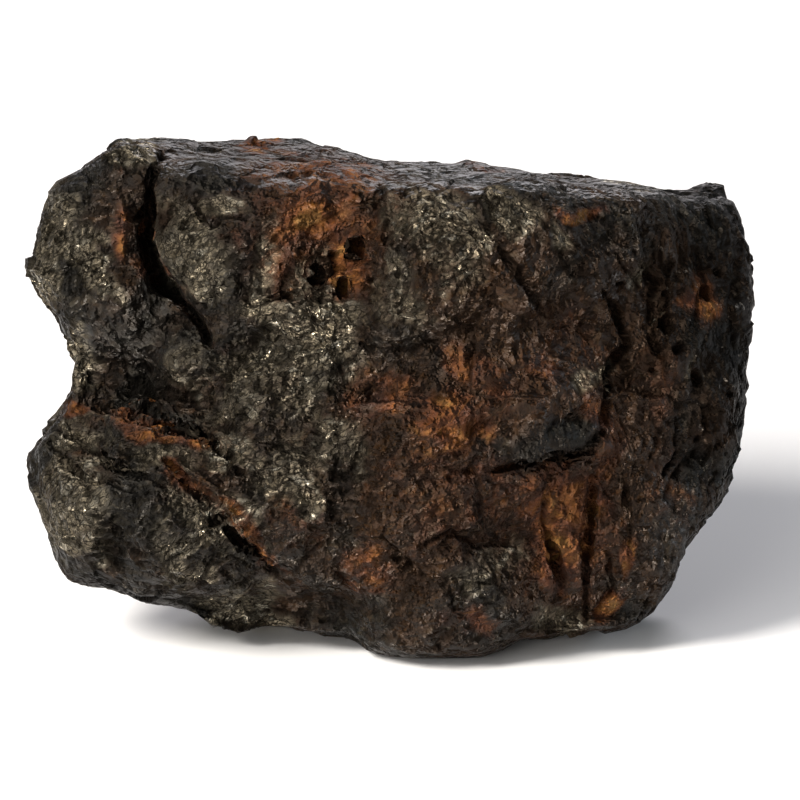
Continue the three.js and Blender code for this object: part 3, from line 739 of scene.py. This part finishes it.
    # Painted highlights: tiny pale flecks laid into the painted shade
    painted_sparkle = nodes.math("MULTIPLY", nodes.remap(fine["Chance"], 0.965, 0.99), mask["shade"])
    painted_sparkle = nodes.math("MULTIPLY", painted_sparkle, nodes.remap(grain, 0.5, 0.62, 0.0, 0.35))
    colour = nodes.mix(painted_shade, rusted, PAINTED_SHADE_COLOUR)
    colour = nodes.mix(painted_sparkle, colour, PAINTED_SPARKLE)

    # Gloss: a dull metallic crust, brighter on some scraps, and matt where it is rusty
    gloss = nodes.remap(spread, 0.15, 0.85, 0.6, 0.22)
    gloss = nodes.math("MULTIPLY_ADD", nodes.math("SUBTRACT", grain, 0.5), 0.3, gloss)
    even = nodes.math("SUBTRACT", 0.42, gloss)
    gloss = nodes.math("MULTIPLY_ADD", mask["smooth"], even, gloss)
    gloss = nodes.math("MULTIPLY_ADD", cover, 0.22, gloss)
    gloss = nodes.math("MULTIPLY_ADD", painted_shade, 0.25, gloss, clamp=True)
    clean = nodes.math("SUBTRACT", 1.0, cover)
    metal = nodes.math("MULTIPLY", nodes.remap(flashing, 0.0, 0.7, 0.15, 0.8), clean)
    metal = nodes.math("MAXIMUM", metal, nodes.math("MULTIPLY", glint, 0.9))
    # In the painted shade the metal share rises, so that the dark colour darkens the reflections too
    metal = nodes.math("MAXIMUM", metal, nodes.math("MULTIPLY", painted_shade, 1.1), clamp=True)

    height = nodes.math("ADD", coarse["Height"], fine["Height"])
    height = nodes.math("MULTIPLY_ADD", grain, 0.3, height)
    height = nodes.math("MULTIPLY", height, rough)
    normal = nodes.add("Bump", {"Height": height, "Strength": 1.0, "Distance": 1.0 * MM}).outputs[0]
    shader = nodes.add(
        "BsdfPrincipled",
        {"Base Color": colour, "Roughness": gloss, "Metallic": metal, "Normal": normal},
    )
    shader.inputs["Specular IOR Level"].default_value = 0.3
    output = nodes.add("OutputMaterial")
    tree.links.new(shader.outputs[0], output.inputs["Surface"])
    return material


def floor_material():
    material = bpy.data.materials.new("pale floor")
    material.use_nodes = True
    shader = material.node_tree.nodes["Principled BSDF"]
    shader.inputs["Base Color"].default_value = (0.84, 0.85, 0.87, 1)
    shader.inputs["Roughness"].default_value = 0.9
    shader.inputs["Specular IOR Level"].default_value = 0.1
    return material


def make_floor():
    half = FLOOR_HALF * MM
    corners = [(-half, -half, 0), (half, -half, 0), (half, half, 0), (-half, half, 0)]
    mesh = bpy.data.meshes.new("floor")
    mesh.from_pydata(corners, [], [(0, 1, 2, 3)])
    mesh.materials.append(floor_material())
    floor = bpy.data.objects.new("floor", mesh)
    floor.location.z = -FLOOR_GAP * MM
    bpy.context.scene.collection.objects.link(floor)


def aim(thing, place, target):
    thing.location = place
    thing.rotation_euler = (Vector(target) - Vector(place)).to_track_quat("-Z", "Y").to_euler()


def make_light(name, place, size, power, colour=(1, 1, 1)):
    light = bpy.data.lights.new(name, "AREA")
    light.shape = "DISK"
    light.size = size
    light.energy = power
    light.color = colour
    lamp = bpy.data.objects.new(name, light)
    aim(lamp, place, LIGHTS_AIM)
    bpy.context.scene.collection.objects.link(lamp)


def make_lights():
    world = bpy.data.worlds.new("soft room")
    world.use_nodes = True
    background = world.node_tree.nodes["Background"]
    background.inputs["Color"].default_value = (1.0, 0.97, 0.93, 1)
    background.inputs["Strength"].default_value = 0.13
    bpy.context.scene.world = world
    make_light("window light", (-0.95, -0.7, 0.95), 0.6, 39.0, (1.0, 0.94, 0.86))
    make_light("sky light", (0.05, 1.15, 0.65), 0.8, 9.0, (0.97, 0.94, 0.98))
    make_light("edge light", (1.2, 0.45, 0.35), 0.4, 4.0, (0.82, 0.91, 1.0))
    make_light("room light", (-0.7, -1.15, 1.0), 1.5, 12.0, (1.0, 0.97, 0.92))
    make_light("low fill", (-0.5, -1.2, 0.1), 0.8, 9.0, (1.0, 0.96, 0.9))


def make_camera():
    camera = bpy.data.objects.new("camera", bpy.data.cameras.new("camera"))
    camera.data.lens = LENS
    camera.data.sensor_width = SENSOR
    camera.data.clip_start = NEAREST_SEEN * MM
    distance = PICTURE_WIDTH * MM * LENS / SENSOR
    target = Vector((PICTURE_CENTRE * MM, 0, UNDERSIDE_DEPTH * MM))
    away = Vector((0, -math.cos(LEAN), math.sin(LEAN)))
    aim(camera, target + away * distance, target)
    bpy.context.scene.collection.objects.link(camera)
    bpy.context.scene.camera = camera


scene = bpy.context.scene
scene.view_settings.view_transform = "Standard"
make_camera()
make_lights()
make_floor()
make_stone()
